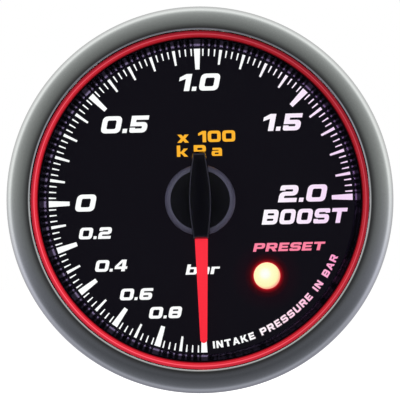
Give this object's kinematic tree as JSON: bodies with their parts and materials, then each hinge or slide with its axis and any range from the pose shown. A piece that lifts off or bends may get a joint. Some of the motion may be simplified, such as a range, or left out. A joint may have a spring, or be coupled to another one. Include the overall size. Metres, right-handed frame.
{
  "type": "boost gauge",
  "caption": "Round electric boost gauge: a geared stepping motor sweeps a lit pointer over a lit bar scale, in a cup for a round panel hole.",
  "frame": {"origin": "on the barrel's axis, in the plane of the bezel's rear face, which rests on the panel", "axes": "the face looks along -Y, +Y runs out of the rear, +Z is twelve o'clock and +X is three o'clock as the driver sees it"},
  "size_m": [0.064, 0.0592, 0.064],
  "materials": {
    "bezel_metal": "satin",
    "clear_glass": "gloss",
    "black_rubber": "matte",
    "black_housing": "satin",
    "black_gloss": "gloss",
    "red_glow": "lit",
    "dial_black": "matte",
    "scale_white": "lit",
    "clear_plastic": "gloss",
    "white_plastic": "matte",
    "lamp_yellow": "lit",
    "led_resin": "gloss",
    "tinned_metal": "satin",
    "gold_metal": "satin",
    "board_green": "satin",
    "chip_black": "matte",
    "can_metal": "satin",
    "capacitor_sleeve": "gloss",
    "socket_cream": "matte",
    "stator_steel": "satin",
    "copper_wire": "gloss",
    "magnet_grey": "matte",
    "gear_plastic": "matte",
    "steel": "polished",
    "red_blade": "lit",
    "stud_zinc": "satin"
  },
  "bodies": {
    "case": {"bezel_ring": "bezel_metal", "lens_glass": "clear_glass", "lens_gasket": "black_rubber", "housing_cup": "black_housing", "glow_ring": "red_glow", "dial_liner": "black_gloss", "dial_plate": "dial_black", "scale_marks": "scale_white", "light_guide": "clear_plastic", "light_box": "white_plastic", "backlight_leds": "led_resin", "ring_leds": "led_resin", "warning_lamp": "lamp_yellow", "lamp_leads": "tinned_metal", "main_board": "board_green", "controller_chip": "chip_black", "controller_legs": "tinned_metal", "crystal": "can_metal", "board_resistors": "chip_black", "smoothing_capacitor": "capacitor_sleeve", "power_board": "board_green", "voltage_regulator": "chip_black", "power_diode": "chip_black", "board_link": "chip_black", "link_pins": "gold_metal", "power_socket": "socket_cream", "power_pins": "gold_metal", "sensor_socket": "socket_cream", "sensor_pins": "gold_metal", "motor_rear_case": "black_housing", "motor_front_case": "black_housing", "stator_plate": "stator_steel", "coil_bobbins": "gear_plastic", "coil_windings": "copper_wire", "motor_terminals": "tinned_metal", "movement_screws": "tinned_metal", "mounting_studs": "stud_zinc"},
    "pointer": {"output_wheel": "gear_plastic", "pointer_shaft": "steel", "pointer_hub": "black_gloss", "pointer_blade": "red_blade", "pointer_cap": "black_gloss"},
    "idler": {"idler_wheel": "gear_plastic", "idler_arbor": "steel"},
    "rotor": {"rotor_magnet": "magnet_grey", "rotor_pinion": "gear_plastic", "rotor_arbor": "steel"}
  },
  "joints": [
    {"name": "pointer_sweep", "type": "hinge", "parent": "case", "child": "pointer", "pos_m": [0, 0, 0], "axis": [0, 1, 0], "range_deg": [0, 270]},
    {"name": "idler_spin", "type": "hinge", "parent": "case", "child": "idler", "pos_m": [-0.00477, 0.02, -0.00758], "axis": [0, 1, 0], "range_deg": [-4050, 0]},
    {"name": "rotor_spin", "type": "hinge", "parent": "case", "child": "rotor", "pos_m": [0, 0.02, -0.012], "axis": [0, 1, 0], "range_deg": [0, 48600]}
  ],
  "couplings": [
    {"joint": "idler_spin", "follows": "pointer_sweep", "ratio": -15},
    {"joint": "rotor_spin", "follows": "pointer_sweep", "ratio": 180}
  ]
}
